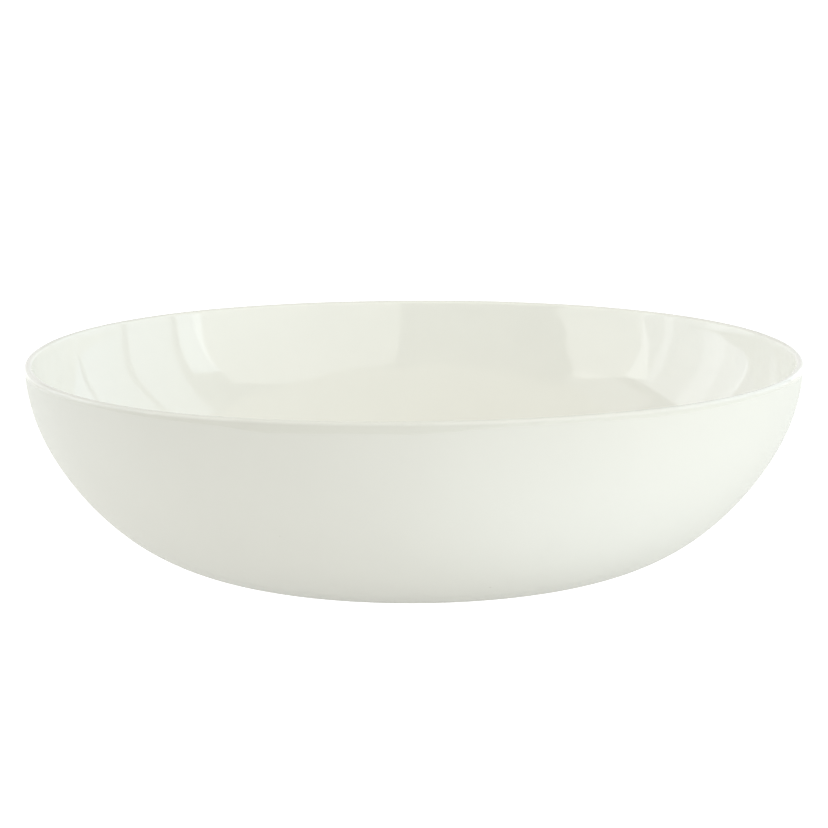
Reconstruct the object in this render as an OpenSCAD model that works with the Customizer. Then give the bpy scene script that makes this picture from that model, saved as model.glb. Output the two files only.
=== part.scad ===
// Round porcelain serving bowl: one fired clay body with a turned foot ring, bare and
// matt outside, and a coat of gloss glaze over its inside and its lip.
// Millimetres, +Z up. The origin is the centre of the foot ring, on the table.
// Both pieces are turned round +Z, so each is one outline in the (radius, height) plane.

/* [Overall] */
// Diameter over the glazed lip
rim_d = 305; // [290:1:320]
// Height from the table to the top of the lip
bowl_h = 83.8; // [82:0.1:90]
// Thickness of the lip, glaze included
lip_t = 3.2; // [2.6:0.1:4]

/* [Outer wall] */
// Lean of the outer wall at the lip, from upright, in degrees
outer_lean = 3.5; // [3:0.5:5]
// Radius of the upper curve of the outer wall
outer_upper_r = 74; // [72:1:77]
// Radius of the middle curve of the outer wall
outer_middle_r = 105; // [102:1:108]

/* [Inner wall] */
// Lean of the inner wall at the lip, from upright, in degrees
inner_lean = 5.5; // [5:0.5:6.5]
// Radius of the upper curve of the inner wall
inner_upper_r = 71; // [69:1:72]
// Radius of the middle curve of the inner wall
inner_middle_r = 101; // [99:1:103]
// Thickness of the clay between the belly and the inside floor
base_t = 5.5; // [5.2:0.1:6.2]

/* [Bends] */
// Lean of the wall where its upper curve meets the middle one, in degrees
upper_bend = 28; // [27:1:29]
// Lean of the wall where its middle curve meets the lower one, in degrees
lower_bend = 50; // [48:1:52]

/* [Foot ring] */
// Diameter over the foot ring
foot_d = 116; // [100:1:124]
// Width of the foot ring
foot_w = 6.5; // [5:0.5:9]
// Height of the foot ring below the belly
foot_h = 2.1; // [2:0.1:3]
// Depth of the recess inside the foot ring
recess_h = 2.7; // [2:0.1:3.2]
// Radius of the rounded edges of the foot ring and of the fillets above it
foot_edge_r = 0.9; // [0.4:0.1:0.9]

/* [Glaze] */
// Thickness of the glaze
glaze_t = 0.35; // [0.3:0.05:0.6]
// How far the glaze comes down the outer wall, in degrees of its upper curve
glaze_drop = 2.2; // [1.5:0.1:3]
// Length of the thinned lower edge of the glaze, in the same degrees
glaze_thin = 0.5; // [0.3:0.1:0.8]

/* [Hidden] */
$fn = 180;

// Largest turn between two points of a wall's curve and of a small round edge, in degrees
wall_step = 2;
edge_step = 12;

// The lip is a half round bead: its centre, and its radius on the bare clay
lip_centre = [(rim_d - lip_t) / 2, bowl_h - lip_t / 2];
clay_lip_r = lip_t / 2 - glaze_t;

// Leans of the outer and the inner wall where their three curves begin and end
outer_leans = [outer_lean, upper_bend, lower_bend, 90];
inner_leans = [inner_lean, upper_bend, lower_bend, 90];

// Height of the inside floor on the bare clay
floor_z = foot_h + base_t;

// The glaze ends on the outer wall at this lean
glaze_end = outer_lean + glaze_drop;

foot_outer_r = foot_d / 2;
foot_inner_r = foot_outer_r - foot_w;

// Direction square to a wall that leans this much, away from the bowl's axis
function square_to(lean) = [cos(lean), -sin(lean)];

// Radius of a lower curve that runs level with this height at its end
function lower_r(centre, middle_r, level) =
    (centre[1] - middle_r * sin(lower_bend) - level) / (1 - sin(lower_bend));

// Next curve's centre, where the two curves share their tangent at this lean
function next_centre(centre, r, next_r, lean) = centre + (r - next_r) * square_to(lean);

// Outer wall on the bare clay: radii and centres of its upper, middle and lower curve
outer_c1 = lip_centre + (clay_lip_r - outer_upper_r) * square_to(outer_lean);
outer_c2 = next_centre(outer_c1, outer_upper_r, outer_middle_r, upper_bend);
outer_lower_r = lower_r(outer_c2, outer_middle_r, foot_h);
outer_c3 = next_centre(outer_c2, outer_middle_r, outer_lower_r, lower_bend);
outer_radii = [outer_upper_r, outer_middle_r, outer_lower_r];
outer_centres = [outer_c1, outer_c2, outer_c3];

// Inner wall on the bare clay, the same way
inner_c1 = lip_centre - (clay_lip_r + inner_upper_r) * square_to(inner_lean);
inner_c2 = next_centre(inner_c1, inner_upper_r, inner_middle_r, upper_bend);
inner_lower_r = lower_r(inner_c2, inner_middle_r, floor_z);
inner_c3 = next_centre(inner_c2, inner_middle_r, inner_lower_r, lower_bend);
inner_radii = [inner_upper_r, inner_middle_r, inner_lower_r];
inner_centres = [inner_c1, inner_c2, inner_c3];

// Points of an arc without its first one, which the outline before it ends on
function arc(centre, r, from, to, step) =
    let (steps = max(2, ceil(abs(to - from) / step)))
    [for (i = [1 : steps])
        let (angle = from + (to - from) * i / steps)
        centre + r * [cos(angle), sin(angle)]];

// Inner wall from the edge of the flat floor up to the lip, with a coat of this thickness
function inner_wall(coat) =
    [for (i = [2 : -1 : 0])
        let (from = -inner_leans[i + 1], to = -inner_leans[i])
        each arc(inner_centres[i], inner_radii[i] - coat, from, to, wall_step)];

// Lip from the inner wall over its top to the outer wall
function lip(coat) =
    arc(lip_centre, clay_lip_r + coat, 180 - inner_lean, -outer_lean, edge_step);

// Outer wall from the lip down to the lean where the glaze ends
function glazed_outer_wall(coat, end) =
    arc(outer_centres[0], outer_upper_r + coat, -outer_lean, -end, wall_step);

// Outer wall from the end of the glaze down to the edge of the flat belly
function bare_outer_wall() =
    [for (i = [0 : 2])
        let (from = i == 0 ? -glaze_end : -outer_leans[i])
        each arc(outer_centres[i], outer_radii[i], from, -outer_leans[i + 1], wall_step)];

// Foot ring from the belly, round its flat face, to the recess under the floor
function foot_ring() =
    let (e = foot_edge_r)
    concat(
        [[foot_outer_r + e, foot_h]],
        arc([foot_outer_r + e, foot_h - e], e, 90, 180, edge_step),
        [[foot_outer_r, e]],
        arc([foot_outer_r - e, e], e, 0, -90, edge_step),
        [[foot_inner_r + e, 0]],
        arc([foot_inner_r + e, e], e, -90, -180, edge_step),
        [[foot_inner_r, recess_h - e]],
        arc([foot_inner_r - e, recess_h - e], e, 0, 90, edge_step)
    );

// Fired clay: wall, floor and foot ring in one piece
module porcelain_body() {
    color([0.90, 0.90, 0.86])
    rotate_extrude()
    polygon(concat(
        [[0, floor_z], [inner_c3[0], floor_z]],
        inner_wall(0),
        lip(0),
        glazed_outer_wall(0, glaze_end),
        bare_outer_wall(),
        foot_ring(),
        [[0, recess_h]]
    ));
}

// Glaze: a coat over the inside and the lip that thins out on the outer wall
module gloss_glaze() {
    clay_side = concat(
        [[0, floor_z], [inner_c3[0], floor_z]],
        inner_wall(0),
        lip(0),
        glazed_outer_wall(0, glaze_end)
    );
    air_side = concat(
        [[0, floor_z + glaze_t], [inner_c3[0], floor_z + glaze_t]],
        inner_wall(glaze_t),
        lip(glaze_t),
        glazed_outer_wall(glaze_t, glaze_end - glaze_thin)
    );
    color([0.95, 0.96, 0.92])
    rotate_extrude()
    polygon(concat(
        air_side,
        [for (i = [len(clay_side) - 1 : -1 : 0]) clay_side[i]]
    ));
}

porcelain_body();
gloss_glaze();
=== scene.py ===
import math

import bpy
import numpy as np
from mathutils import Matrix, Vector


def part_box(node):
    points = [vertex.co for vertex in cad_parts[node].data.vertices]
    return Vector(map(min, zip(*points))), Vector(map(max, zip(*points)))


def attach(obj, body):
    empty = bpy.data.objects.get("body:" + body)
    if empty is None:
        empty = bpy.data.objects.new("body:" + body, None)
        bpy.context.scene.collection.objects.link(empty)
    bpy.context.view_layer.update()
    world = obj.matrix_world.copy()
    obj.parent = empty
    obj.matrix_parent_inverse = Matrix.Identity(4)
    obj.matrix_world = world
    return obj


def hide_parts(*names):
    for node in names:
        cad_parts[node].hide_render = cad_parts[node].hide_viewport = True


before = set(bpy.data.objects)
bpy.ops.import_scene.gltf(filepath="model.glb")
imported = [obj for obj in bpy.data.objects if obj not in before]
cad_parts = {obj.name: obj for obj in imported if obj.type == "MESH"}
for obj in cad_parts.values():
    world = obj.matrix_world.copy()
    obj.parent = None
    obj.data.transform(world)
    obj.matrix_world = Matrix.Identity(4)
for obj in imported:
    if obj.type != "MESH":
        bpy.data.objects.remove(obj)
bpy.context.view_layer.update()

# A porcelain serving bowl: a bare, matt clay body and a coat of gloss glaze over its inside
# and lip. Shapes are worked out in millimetres and turned into metres as meshes are made.
MM = 0.001

# ---------------------------------------------------------------- sizes taken from the frame
body_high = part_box("porcelain_body")[1]
glaze_low, glaze_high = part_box("gloss_glaze")
RIM_R = glaze_high.x / MM                           # radius over the glazed lip
TOP = glaze_high.z / MM                             # height of the glazed lip
GLAZE_T = (glaze_high.z - body_high.z) / MM         # thickness of the glaze
FLOOR = glaze_low.z / MM                            # inside floor on the clay

# ---------------------------------------------------------------- sizes of the wall and foot
LIP_T = 3.2                 # thickness of the lip, glaze included
UPPER_BEND = 28             # lean of the wall where its upper and middle curves meet
LOWER_BEND = 50             # lean of the wall where its middle and lower curves meet
OUTER_LEAN = 3.5            # lean of the outer wall at the lip
OUTER_UPPER_R = 74
OUTER_MIDDLE_R = 105
INNER_LEAN = 5.5            # lean of the inner wall at the lip
INNER_UPPER_R = 71
INNER_MIDDLE_R = 101
BELLY = 2.1                 # height of the belly above the table
FOOT_R = 58                 # outer radius of the foot ring
FOOT_W = 6.5                # width of the foot ring
RECESS = 2.7                # depth of the recess inside the foot ring
FOOT_EDGE_R = 0.9           # radius of the foot ring's round edges

# ---------------------------------------------------------------- how finely meshes are made
COLUMNS = 640               # steps round the bowl
# Spacing of the points along an outline, in millimetres: the clay
CLAY_FLOOR_STEP = 12        # flat floor under the glaze
CLAY_INSIDE_STEP = 5        # inner wall under the glaze
CLAY_LIP_STEP = 0.4
CLAY_OUTSIDE_STEP = 2.1
FOOT_STEP = 2.0             # belly and the sides of the foot ring
FOOT_FACE_STEP = 1.2        # face that the bowl stands on
FOOT_EDGE_STEP = 0.25       # round edges
RECESS_STEP = 4.0
# and the glaze
GLAZE_FLOOR_STEP = 4
GLAZE_WALL_STEP = 2.2
GLAZE_LIP_STEP = 0.3
GLAZE_BACK_LIP_STEP = 0.6   # over the lip on the hidden side
GLAZE_BAND_ROWS = 18        # rows of points on the band outside the lip

LIP_CENTRE = np.array([RIM_R - LIP_T / 2, TOP - LIP_T / 2])
CLAY_LIP_R = LIP_T / 2 - GLAZE_T


def square_to(lean):
    """Direction square to a wall that leans this much, away from the bowl's axis."""
    a = math.radians(lean)
    return np.array([math.cos(a), -math.sin(a)])


def wall_curves(first_centre, upper_r, middle_r, level):
    """Centres and radii of a wall's three curves; the last one runs level at this height."""
    second = first_centre + (upper_r - middle_r) * square_to(UPPER_BEND)
    sine = math.sin(math.radians(LOWER_BEND))
    lower_r = (second[1] - middle_r * sine - level) / (1 - sine)
    third = second + (middle_r - lower_r) * square_to(LOWER_BEND)
    return [first_centre, second, third], [upper_r, middle_r, lower_r]


OUTER_CENTRES, OUTER_RADII = wall_curves(
    LIP_CENTRE + (CLAY_LIP_R - OUTER_UPPER_R) * square_to(OUTER_LEAN),
    OUTER_UPPER_R, OUTER_MIDDLE_R, BELLY)
INNER_CENTRES, INNER_RADII = wall_curves(
    LIP_CENTRE - (CLAY_LIP_R + INNER_UPPER_R) * square_to(INNER_LEAN),
    INNER_UPPER_R, INNER_MIDDLE_R, FLOOR)
OUTER_LEANS = [OUTER_LEAN, UPPER_BEND, LOWER_BEND, 90]
INNER_LEANS = [INNER_LEAN, UPPER_BEND, LOWER_BEND, 90]


def arc(centre, radius, start, stop, spacing):
    """Points of an arc without its first one, about one to each spacing of its length."""
    length = abs(math.radians(stop - start)) * radius
    steps = max(3, math.ceil(length / spacing))
    a = np.radians(start + (stop - start) * np.arange(1, steps + 1) / steps)
    return np.stack([centre[0] + radius * np.cos(a), centre[1] + radius * np.sin(a)], 1)


def line(start, stop, spacing):
    """Points of a straight stretch without its first one."""
    start, stop = np.array(start, float), np.array(stop, float)
    steps = max(1, math.ceil(np.linalg.norm(stop - start) / spacing))
    t = np.arange(1, steps + 1)[:, None] / steps
    return start + (stop - start) * t


def inner_wall(coat, spacing):
    """From the edge of the flat floor up to the lip, with a coat of this thickness."""
    stretches = [arc(INNER_CENTRES[i], INNER_RADII[i] - coat,
                     -INNER_LEANS[i + 1], -INNER_LEANS[i], spacing) for i in (2, 1, 0)]
    return np.concatenate(stretches)


def lip(coat, spacing):
    """From the inner wall over the top of the lip to the outer wall."""
    return arc(LIP_CENTRE, CLAY_LIP_R + coat, 180 - INNER_LEAN, -OUTER_LEAN, spacing)


def outer_wall(spacing):
    """From the lip down to the edge of the flat belly, on the clay."""
    stretches = [arc(OUTER_CENTRES[i], OUTER_RADII[i],
                     -OUTER_LEANS[i], -OUTER_LEANS[i + 1], spacing) for i in (0, 1, 2)]
    return np.concatenate(stretches)


def foot(spacing):
    """From the edge of the belly round the foot ring to the middle of the recess."""
    e, inner, fine = FOOT_EDGE_R, FOOT_R - FOOT_W, FOOT_EDGE_STEP
    return np.concatenate([
        line([OUTER_CENTRES[2][0], BELLY], [FOOT_R + e, BELLY], spacing),
        arc([FOOT_R + e, BELLY - e], e, 90, 180, fine),
        line([FOOT_R, BELLY - e], [FOOT_R, e], spacing),
        arc([FOOT_R - e, e], e, 0, -90, fine),
        line([FOOT_R - e, 0], [inner + e, 0], FOOT_FACE_STEP),
        arc([inner + e, e], e, -90, -180, fine),
        line([inner, e], [inner, RECESS - e], spacing),
        arc([inner - e, RECESS - e], e, 0, 90, fine),
        line([inner - e, RECESS], [0, RECESS], RECESS_STEP)])


def normals(outline):
    """Directions square to an open outline, to the left of the way that it runs."""
    along = np.gradient(outline, axis=0)
    along /= np.linalg.norm(along, axis=1, keepdims=True)
    return np.stack([-along[:, 1], along[:, 0]], 1)


# ---------------------------------------------------------------- the hand-made irregularity
ROUND = np.linspace(0, 2 * np.pi, COLUMNS, endpoint=False)      # from +X towards +Y
RIM_RISE = 0.45             # how much higher the finished rim stands than the turned one
WAVE_FADE = 1.5             # power of the height by which the rim's wave fades downwards
SWELL = 0.10                # how far the wall swells in and out
SWELL_FROM = 12             # height at which the swell has come in fully


def rim_wave(theta):
    """How far the rim stands above or below its level plane, in millimetres."""
    return (-0.29 * np.cos(2 * theta) - 0.25 * np.sin(2 * theta)
            - 0.09 * np.cos(3 * theta) + 0.56 * np.sin(3 * theta))


def ripples(theta, along, seed, turns, wavelengths, count):
    """The sum of count waves, with a height of about 1. Each goes a whole number of turns
    round the bowl, and has its wavelength in millimetres along the wall."""
    draw = np.random.default_rng(seed)
    total = np.zeros(np.broadcast(theta, along).shape)
    for _ in range(count):
        k = draw.integers(turns[0], turns[1] + 1)
        wave = 2 * np.pi / draw.uniform(*wavelengths)
        phase, slant = draw.uniform(0, 2 * np.pi), draw.choice([-1, 1])
        total += np.cos(k * theta + slant * wave * along + phase)
    return total / math.sqrt(count / 2)


def hand_shaped(x, y, z):
    """Moves points of the exactly turned bowl to where the hand-finished one has them."""
    theta = np.arctan2(y, x)
    share = np.clip(z / TOP, 0, 1) ** WAVE_FADE
    wave = RIM_RISE + rim_wave(theta)
    swell = SWELL * ripples(theta, z, seed=11, turns=(2, 7), wavelengths=(60, 160), count=8)
    swell = swell * np.clip(z / SWELL_FROM, 0, 1)
    return (x + swell * np.cos(theta), y + swell * np.sin(theta), z + wave * share)


# ---------------------------------------------------------------- meshes turned from outlines
def turned_piece(name, radius, height, thinness_and_painted_light=None):
    """A closed mesh from rows of points: radius and height are (rows, COLUMNS) arrays whose
    first and last rows lie on the axis. thinness is a number for each row, which the
    material reads."""
    rows = len(radius)
    x, y, z = hand_shaped(radius * np.cos(ROUND), radius * np.sin(ROUND), height)
    points = np.stack([x, y, z], -1) * MM
    rings = points[1:-1].reshape(-1, 3)
    poles = np.array([points[0].mean(0), points[-1].mean(0)])
    vertices = np.concatenate([rings, poles])
    first_pole, last_pole = len(rings), len(rings) + 1
    column = np.arange(COLUMNS)
    beside = (column + 1) % COLUMNS
    faces = []
    for row in range(rows - 3):
        a, b = row * COLUMNS, (row + 1) * COLUMNS
        faces += np.stack([a + column, a + beside, b + beside, b + column], 1).tolist()
    faces += [[first_pole, b, a] for a, b in zip(column.tolist(), beside.tolist())]
    last = (rows - 3) * COLUMNS
    faces += [[last_pole, last + a, last + b] for a, b in zip(column.tolist(), beside.tolist())]
    mesh = bpy.data.meshes.new(name)
    mesh.from_pydata(vertices.tolist(), [], faces)
    if thinness_and_painted_light is not None:
        values = np.r_[np.repeat(thinness_and_painted_light[1:-1], COLUMNS), thinness_and_painted_light[0], thinness_and_painted_light[-1]]
        layer = mesh.attributes.new("thinness_and_painted_light", "FLOAT", "POINT")
        layer.data.foreach_set("value", values.astype(np.float32))
    mesh.validate()
    mesh.shade_smooth()
    piece = bpy.data.objects.new(name, mesh)
    bpy.context.scene.collection.objects.link(piece)
    return piece


def clay_body():
    """The fired clay: inside floor, inner wall, lip, outer wall, foot ring and recess."""
    edge = INNER_CENTRES[2][0]
    outline = np.concatenate([
        [[0, FLOOR]], line([0, FLOOR], [edge, FLOOR], CLAY_FLOOR_STEP),
        inner_wall(0, CLAY_INSIDE_STEP), lip(0, CLAY_LIP_STEP),
        outer_wall(CLAY_OUTSIDE_STEP), foot(FOOT_STEP)])
    radius = np.repeat(outline[:, :1], COLUMNS, 1)
    height = np.repeat(outline[:, 1:], COLUMNS, 1)
    return turned_piece("porcelain_clay_body", radius, height)


# Glaze outside the lip, in millimetres along the wall from the side of the lip
GLAZE_DROP = 1.1            # usual distance to the glaze line
GLAZE_SAG = 1.9             # how much further it runs where it sags
SAG_STARTS = (-119, -109)   # the sag comes in between these degrees from +X towards +Y
SAG_ENDS = (-92, -77)       # and fades between these
LINE_WAVE = 0.22            # slow and quick unevenness of the glaze line
LINE_JITTER = 0.06
GLAZE_OUTSIDE_T = 0.13      # thickness above the glaze line
GLAZE_TAPER = 0.9           # width of the thinned edge
GLAZE_TUCK = 0.03           # how far the hidden side sits in the clay
GLAZE_WAVE = 0.035          # unevenness of the coat's thickness on the inside
CALM_MIDDLE = 40            # distance from the floor's middle over which that comes in
LIP_LENGTH = 4.2            # stretch over the lip along which the coat thins
# The coat's tone changes over the lip's top and down its outer side, here in millimetres
# before the outer end of the lip's bead. The lighter tone over the top is partly a painted
# highlight, the darker one down the side partly a painted dark reflection
OVER_TOP = (-3.3, -2.4)
DOWN_SIDE = (-1.2, 0)


def smooth_step(value, start, stop):
    """0 up to start, 1 from stop on, and a smooth curve between them."""
    t = np.clip((value - start) / (stop - start), 0, 1)
    return t * t * (3 - 2 * t)


def glaze_line(theta):
    """Where the glaze ends, as millimetres along the wall below the side of the lip."""
    degrees = (np.degrees(theta) + 180) % 360 - 180
    sag = GLAZE_SAG * (smooth_step(degrees, SAG_STARTS[0], SAG_STARTS[1])
                       * smooth_step(-degrees, -SAG_ENDS[1], -SAG_ENDS[0]))
    level = 0 * theta
    wave = ripples(theta, level, seed=5, turns=(3, 14), wavelengths=(50, 60), count=9)
    jitter = ripples(theta, level, seed=6, turns=(25, 70), wavelengths=(50, 60), count=9)
    return GLAZE_DROP + sag + LINE_WAVE * wave + LINE_JITTER * jitter


def glaze_coat():
    """The glaze: its free side from the middle of the floor over the lip to the glaze line,
    and its hidden side back along the clay."""
    edge = INNER_CENTRES[2][0]
    inside = np.concatenate([
        [[0, FLOOR]], line([0, FLOOR], [edge, FLOOR], GLAZE_FLOOR_STEP),
        inner_wall(0, GLAZE_WALL_STEP), lip(0, GLAZE_LIP_STEP)])
    outward = normals(inside)
    along = np.cumsum(np.r_[0, np.linalg.norm(np.diff(inside, axis=0), axis=1)])
    lip_share = np.clip((along - (along[-1] - LIP_LENGTH)) / LIP_LENGTH, 0, 1)
    coat = GLAZE_T + (GLAZE_OUTSIDE_T - GLAZE_T) * lip_share ** 2
    uneven = GLAZE_WAVE * ripples(ROUND[None], along[:, None],
                                  seed=3, turns=(4, 26), wavelengths=(14, 50), count=16)
    calm = np.clip(along / CALM_MIDDLE, 0, 1)[:, None] * (1 - lip_share[:, None])
    thick = coat[:, None] + uneven * calm
    free_r = inside[:, :1] + outward[:, :1] * thick
    free_z = inside[:, 1:] + outward[:, 1:] * thick
    free_r[0] = 0
    # the band outside the lip, from the side of the lip down to the glaze line
    share = np.linspace(0, 1, GLAZE_BAND_ROWS + 1)[1:, None]
    drop = glaze_line(ROUND)[None]
    down = share * drop
    lean = np.radians(OUTER_LEAN) + down / OUTER_UPPER_R
    taper = smooth_step(drop - down, 0, GLAZE_TAPER)
    depth = (GLAZE_OUTSIDE_T + GLAZE_TUCK) * taper - GLAZE_TUCK
    band_r = OUTER_CENTRES[0][0] + (OUTER_UPPER_R + depth) * np.cos(lean)
    band_z = OUTER_CENTRES[0][1] - (OUTER_UPPER_R + depth) * np.sin(lean)
    # back along the clay
    back = np.concatenate([
        [[0, FLOOR]], line([0, FLOOR], [edge, FLOOR], CLAY_FLOOR_STEP),
        inner_wall(0, CLAY_INSIDE_STEP), lip(0, GLAZE_BACK_LIP_STEP)])
    hidden = (back - normals(back) * GLAZE_TUCK)[::-1]
    hidden[-1, 0] = 0
    hidden_r = np.repeat(hidden[:, :1], COLUMNS, 1)
    hidden_z = np.repeat(hidden[:, 1:], COLUMNS, 1)
    # how thin the coat is and where light is painted: 0 on the inside, 1 over the top of the
    # lip,
    # 2 on the band outside; the tone read from it holds a painted highlight and a painted dark
    # reflection
    beyond = along - along[-1]
    over_top = smooth_step(beyond, *OVER_TOP)
    down_side = smooth_step(beyond, *DOWN_SIDE)
    thinness_and_painted_light = np.r_[over_top + down_side, np.full(len(band_r), 2.0),
                     np.full(len(hidden_r), 1.0)]
    return turned_piece("gloss_glaze_coat", np.concatenate([free_r, band_r, hidden_r]),
                        np.concatenate([free_z, band_z, hidden_z]), thinness_and_painted_light)


# ---------------------------------------------------------------- materials
CLAY_TONE = (0.61, 0.61, 0.57)
SPECK_TONE = (0.42, 0.40, 0.34)
GLAZE_TONE = (0.87, 0.875, 0.835)                   # on the inside
# partly a painted highlight: lighter than the clay, so that the lip's top shows a light line
LIP_TONE_AND_HIGHLIGHT = (0.73, 0.735, 0.70)                      # over the top of the lip
# partly a painted dark reflection: darker than the clay, standing in for the dark surroundings
# that the glazed band would mirror
OUTSIDE_TONE_AND_REFLECTION = (0.585, 0.585, 0.54)                 # on the band outside
CLOUDS = 0.985              # share of a tone that its darker clouds have

# Sockets of a colour Mix node that share their names with those for numbers
MIX_FIRST, MIX_SECOND, MIX_RESULT = 6, 7, 2


class Nodes:
    """A material's nodes, added and joined one call at a time."""

    def __init__(self, name):
        self.material = bpy.data.materials.new(name)
        self.material.use_nodes = True
        self.tree = self.material.node_tree
        self.shader = self.tree.nodes["Principled BSDF"]

    def add(self, kind, inputs=(), **settings):
        node = self.tree.nodes.new(kind)
        for key, value in settings.items():
            setattr(node, key, value)
        for key, value in dict(inputs).items():
            if isinstance(value, bpy.types.NodeSocket):
                self.tree.links.new(value, node.inputs[key])
            else:
                node.inputs[key].default_value = value
        return node

    def noise(self, scale, detail=2.0, roughness=0.5):
        place = self.add("ShaderNodeTexCoord").outputs["Object"]
        return self.add("ShaderNodeTexNoise", {"Vector": place, "Scale": scale,
                                               "Detail": detail, "Roughness": roughness})

    def ramp(self, value, stops):
        node = self.add("ShaderNodeValToRGB", {"Fac": value})
        ramp = node.color_ramp
        while len(ramp.elements) < len(stops):
            ramp.elements.new(0.5)
        for element, (position, colour) in zip(ramp.elements, stops):
            element.position = position
            element.color = (*colour, 1.0)
        return node.outputs["Color"]

    def cloudy(self, tone, scale):
        """A tone with faint darker clouds."""
        cloud = self.noise(scale, 3).outputs["Fac"]
        return self.ramp(cloud, [(0.3, tuple(c * CLOUDS for c in tone)), (0.7, tone)])

    def towards(self, colour, tone, share):
        """A colour that turns into a plain tone as the share goes from 0 to 1."""
        node = self.add("ShaderNodeMix", {"Factor": share, MIX_FIRST: colour,
                                          MIX_SECOND: (*tone, 1)}, data_type="RGBA")
        return node.outputs[MIX_RESULT]

    def to_shader(self, **links):
        for key, value in links.items():
            self.tree.links.new(value, self.shader.inputs[key.replace("_", " ")])


def bare_porcelain():
    """Unglazed fired porcelain: matt, slightly warm white with a fine tooth and rare specks."""
    m = Nodes("bare_porcelain")
    body = m.cloudy(CLAY_TONE, 22)
    # a few small darker specks, each about a millimetre wide
    place = m.add("ShaderNodeTexCoord").outputs["Object"]
    cells = m.add("ShaderNodeTexVoronoi", {"Vector": place, "Scale": 52})
    near = m.add("ShaderNodeMapRange", {"Value": cells.outputs["Distance"], "From Min": 0.032,
                                        "From Max": 0.012, "To Max": 0.55})
    body = m.towards(body, SPECK_TONE, near.outputs["Result"])
    grain = m.noise(1500, 2).outputs["Fac"]
    tooth = m.noise(420, 4, 0.6).outputs["Fac"]
    rough = m.add("ShaderNodeMapRange", {"Value": tooth, "To Min": 0.58, "To Max": 0.74})
    bump = m.add("ShaderNodeBump", {"Height": tooth, "Strength": 0.12, "Distance": 0.0002})
    fine = m.add("ShaderNodeBump", {"Height": grain, "Strength": 0.10, "Distance": 0.00008,
                                    "Normal": bump.outputs["Normal"]})
    m.to_shader(Base_Color=body, Roughness=rough.outputs["Result"],
                Normal=fine.outputs["Normal"])
    m.shader.inputs["IOR"].default_value = 1.45
    m.shader.inputs["Specular IOR Level"].default_value = 0.35
    return m.material


def gloss_glaze():
    """White gloss glaze, nearly mirror smooth."""
    m = Nodes("gloss_glaze")
    body = m.cloudy(GLAZE_TONE, 30)
    # the coat is thin over the lip and outside it, where the clay's tone shows; the lip's
    # lighter tone is also a painted highlight, and the band's darker tone also a painted dark
    # reflection
    thin = m.add("ShaderNodeAttribute", attribute_name="thinness_and_painted_light").outputs["Fac"]
    lip_share = m.add("ShaderNodeMapRange", {"Value": thin, "From Min": 0, "From Max": 1})
    band_share = m.add("ShaderNodeMapRange", {"Value": thin, "From Min": 1, "From Max": 2})
    body = m.towards(body, LIP_TONE_AND_HIGHLIGHT, lip_share.outputs["Result"])
    body = m.towards(body, OUTSIDE_TONE_AND_REFLECTION, band_share.outputs["Result"])
    smooth = m.noise(60, 2).outputs["Fac"]
    rough = m.add("ShaderNodeMapRange", {"Value": smooth, "To Min": 0.035, "To Max": 0.075})
    # the thin coat outside the lip shines less
    shine = m.add("ShaderNodeMapRange", {"Value": thin, "From Min": 1, "From Max": 2,
                                         "To Min": 0.5, "To Max": 0.05})
    m.to_shader(Base_Color=body, Roughness=rough.outputs["Result"],
                Specular_IOR_Level=shine.outputs["Result"])
    m.shader.inputs["IOR"].default_value = 1.52
    return m.material


# ---------------------------------------------------------------- camera, floor and lights
VIEW_DOWN = 10.85           # degrees by which the camera looks down on the bowl
VIEW_ROLL = -0.26           # degrees by which the camera is tilted sideways
VIEW_DISTANCE = 1.4         # metres from the middle of the bowl
VIEW_LENS = 154.1           # focal length on a 36 mm wide sensor
VIEW_MIDDLE = 0.0432        # height of the bowl's middle as the camera sees it
VIEW_ABOVE = 0.0173         # how far the camera aims above that middle
VIEW_ASIDE = -0.0002        # and to its right


def aim_camera():
    """The camera, at the photo's angle."""
    data = bpy.data.cameras.new("camera")
    data.sensor_width = 36
    data.lens = VIEW_LENS
    camera = bpy.data.objects.new("camera", data)
    down, roll = math.radians(VIEW_DOWN), math.radians(VIEW_ROLL)
    ahead = Vector((0, math.cos(down), -math.sin(down)))
    side = Vector((1, 0, 0))
    rise = side.cross(ahead)
    right = side * math.cos(roll) + rise * math.sin(roll)
    up = rise * math.cos(roll) - side * math.sin(roll)
    place = Vector((0, 0, VIEW_MIDDLE)) - ahead * VIEW_DISTANCE
    aim = Vector((0, 0, VIEW_MIDDLE)) + up * VIEW_ABOVE + right * VIEW_ASIDE
    back = (place - aim).normalized()
    right = (right - back * right.dot(back)).normalized()
    camera.matrix_world = Matrix.Translation(place) @ Matrix(
        (right, back.cross(right), back)).transposed().to_4x4()
    bpy.context.scene.collection.objects.link(camera)
    bpy.context.scene.camera = camera


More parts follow.
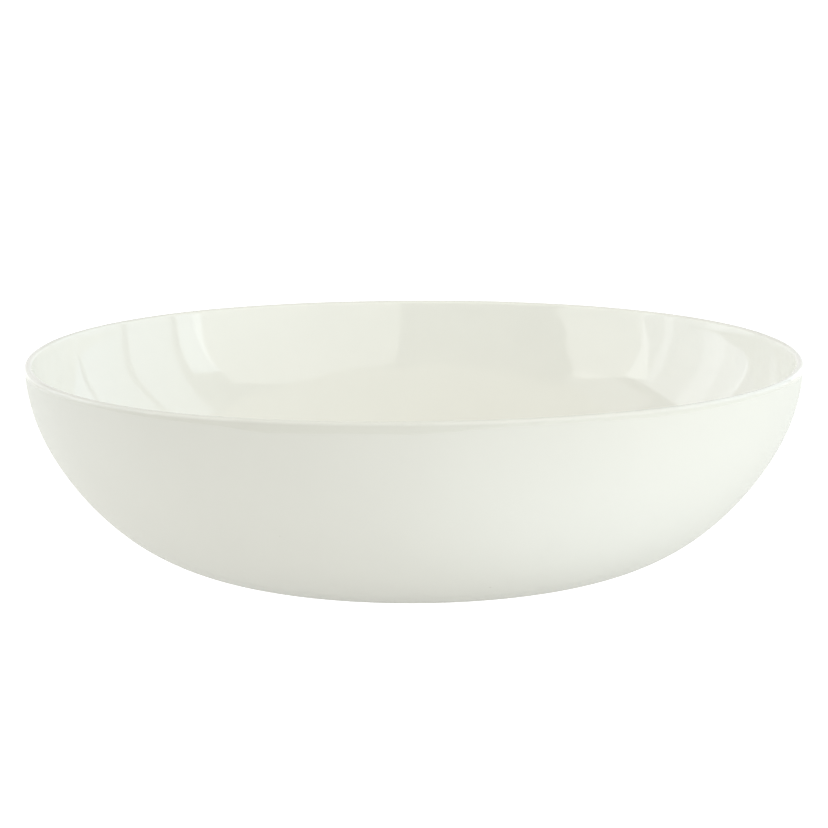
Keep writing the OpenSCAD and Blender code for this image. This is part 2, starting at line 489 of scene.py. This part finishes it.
def floor_disc():
    """A wide pale floor. The camera sees it as white as the backdrop, but for the faintest
    shadow under the bowl."""
    turns = np.linspace(0, 2 * np.pi, FLOOR_SIDES, endpoint=False)
    ring = [(FLOOR_RADIUS * math.cos(a), FLOOR_RADIUS * math.sin(a), 0) for a in turns]
    mesh = bpy.data.meshes.new("floor")
    mesh.from_pydata(ring, [], [list(range(FLOOR_SIDES))])
    floor = bpy.data.objects.new("floor", mesh)
    bpy.context.scene.collection.objects.link(floor)
    m = Nodes("floor")
    m.shader.inputs["Base Color"].default_value = (*FLOOR_COLOUR, 1)
    m.shader.inputs["Roughness"].default_value = 1
    m.shader.inputs["Specular IOR Level"].default_value = 0
    m.shader.inputs["Emission Color"].default_value = (1, 1, 1, 1)
    m.shader.inputs["Emission Strength"].default_value = FLOOR_GLOW
    white = m.add("ShaderNodeEmission", {"Color": (1, 1, 1, 1), "Strength": BACKDROP})
    seen = m.add("ShaderNodeLightPath").outputs["Is Camera Ray"]
    share = m.add("ShaderNodeMath", {0: seen, 1: FLOOR_WASH}, operation="MULTIPLY").outputs[0]
    mix = m.add("ShaderNodeMixShader", {"Fac": share, 1: m.shader.outputs["BSDF"],
                                        2: white.outputs["Emission"]})
    m.tree.links.new(mix.outputs["Shader"], m.tree.nodes["Material Output"].inputs["Surface"])
    mesh.materials.append(m.material)


FLOOR_RADIUS = 18           # metres
FLOOR_SIDES = 96
FLOOR_COLOUR = (0.8, 0.8, 0.8)
FLOOR_GLOW = 0.43           # light that the floor gives off itself
FLOOR_WASH = 0.97           # share of white over the floor as the camera sees it
BACKDROP = 1.3              # white of the backdrop and of the floor

# Tints of the lights as red, green and blue. A light's level multiplies its tint.
COOL = (0.86, 1.0, 1.13)
PALE = (0.95, 1.0, 1.07)
PLAIN = (1.0, 1.0, 1.0)
MILD = (0.98, 1.0, 0.95)
WARM = (1.08, 1.0, 0.77)

# Panels of light stand round the bowl like softboxes: name, the bearings of the panel's two
# edges in degrees (0 is the camera's side, 90 the right), the elevations of its lower and
# upper edges, how far it leans back in its own plane, its distance in metres, its level and
# its tint
PANELS = [
    ("back", 150, 230, 20, 60, 0, 3.0, 0.3, PLAIN),
    ("back_low", 150, 230, 0.5, 19.5, 0, 3.0, 0.6, PLAIN),
    ("right_far", 134, 150, 0.5, 42, 12, 1.1, 0.8, COOL),
    ("right_back", 109.5, 131.5, 0.5, 42, 12, 1.1, 0.8, COOL),
    ("right_wide", 87, 106, 0.5, 48, 12, 1.0, 1.0, COOL),
    ("right_strip", 74, 84.5, 0.5, 36, 8, 1.0, 1.75, COOL),
    ("front_right", 5, 75, 0.5, 48.5, 2, 3.0, 1.25, MILD),
    ("front_left", -76, -45, 0.5, 41, 24, 3.0, 1.5, MILD),
    ("left_edge", -78.5, -76.5, 0.5, 17, 14, 3.0, 0.55, PALE),
    ("left_wide", -130, -79, 0.5, 33, 10, 3.0, 1.25, PALE),
    ("left_high", -104, -62, 38, 48, 0, 3.0, 0.6, PLAIN),
    ("left_strip", -91, -87.5, 0.5, 32, 8, 2.9, 0.85, PALE),
    ("left_tall", -115, -104.5, 0.5, 32, 14, 2.9, 0.55, PALE),
]
# Patches of the floor that throw more light back up: name, middle, width, level and tint,
# in metres
FLOOR_POOLS = [
    ("pool_front", (0.25, -0.36), 0.6, 0.25, COOL),
    ("pool_left", (-0.46, 0.02), 0.5, 0.4, COOL),
    ("pool_back", (0, 3.5), 6, 0.5, PLAIN),
    ("pool_far", (1.0, -0.7), 1.5, 2.0, MILD),
]
POOL_HEIGHT = 0.0005        # just above the floor
CEILING_HEIGHT = 3.0
CEILING_ABOVE = 48          # elevation of the ceiling light's edge in degrees
CEILING_LEVEL = 0.52
ROOM_LEVEL = 0.4
# Near the ends of the lip, light glances along the glazed wall many times
GLOSSY_BOUNCES = 12


def area_light(name, shape, width, height, level, tint):
    """A flat area light, which the camera itself doesn't see. A white matt surface that it
    fills the view of looks as bright as its level."""
    data = bpy.data.lights.new(name, "AREA")
    data.shape = shape
    data.size, data.size_y = width, height
    area = width * height * (math.pi / 4 if shape == "ELLIPSE" else 1)
    data.color = tint
    data.energy = level * math.pi * area
    light = bpy.data.objects.new(name, data)
    light.visible_camera = False
    bpy.context.scene.collection.objects.link(light)
    return light


def light_panel(name, left, right, low, high, lean, distance, level, tint):
    """A panel that fills these bearings and elevations."""
    middle = math.radians((left + right) / 2)
    width = 2 * distance * math.tan(math.radians(right - left) / 2)
    bottom = distance * math.tan(math.radians(low))
    top = distance * math.tan(math.radians(high))
    light = area_light(name, "RECTANGLE", width, top - bottom, level, tint)
    outward = Vector((math.sin(middle), -math.cos(middle), 0))
    lean = math.radians(lean if middle > 0 else -lean)
    to_back = Vector((math.cos(middle), math.sin(middle), 0)) * math.tan(lean)
    light.location = (outward * distance + Vector((0, 0, (bottom + top) / 2))
                      + to_back * (top - bottom) / 2)
    upright = outward.to_track_quat("Z", "Y").to_matrix()
    light.rotation_euler = (upright @ Matrix.Rotation(-lean, 3, "Z")).to_euler()


def ceiling():
    """A round warm light overhead."""
    width = 2 * CEILING_HEIGHT / math.tan(math.radians(CEILING_ABOVE))
    light = area_light("ceiling", "ELLIPSE", width, width, CEILING_LEVEL, WARM)
    light.location = (0, 0, CEILING_HEIGHT)


def floor_pool(name, middle, width, level, tint):
    """Light that a patch of the floor throws back up."""
    light = area_light(name, "ELLIPSE", width, width, level, tint)
    light.location = (*middle, POOL_HEIGHT)
    light.rotation_euler = (math.pi, 0, 0)


def room():
    """Even light from all round; to the camera itself the backdrop is plain white."""
    world = bpy.data.worlds.new("room")
    bpy.context.scene.world = world
    world.use_nodes = True
    nodes, links = world.node_tree.nodes, world.node_tree.links
    light = nodes["Background"]
    light.inputs["Color"].default_value = (1, 1, 1, 1)
    light.inputs["Strength"].default_value = ROOM_LEVEL
    backdrop = nodes.new("ShaderNodeBackground")
    backdrop.inputs["Color"].default_value = (1, 1, 1, 1)
    backdrop.inputs["Strength"].default_value = BACKDROP
    seen = nodes.new("ShaderNodeLightPath")
    mix = nodes.new("ShaderNodeMixShader")
    links.new(seen.outputs["Is Camera Ray"], mix.inputs["Fac"])
    links.new(light.outputs["Background"], mix.inputs[1])
    links.new(backdrop.outputs["Background"], mix.inputs[2])
    links.new(mix.outputs["Shader"], nodes["World Output"].inputs["Surface"])


# ---------------------------------------------------------------- the scene
aim_camera()

body = clay_body()
body.data.materials.append(bare_porcelain())
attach(body, "root")
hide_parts("porcelain_body")

glaze = glaze_coat()
glaze.data.materials.append(gloss_glaze())
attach(glaze, "root")
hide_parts("gloss_glaze")

floor_disc()
for panel in PANELS:
    light_panel(*panel)
ceiling()
for pool in FLOOR_POOLS:
    floor_pool(*pool)
room()

bpy.context.scene.view_settings.view_transform = "Standard"
bpy.context.scene.cycles.glossy_bounces = GLOSSY_BOUNCES
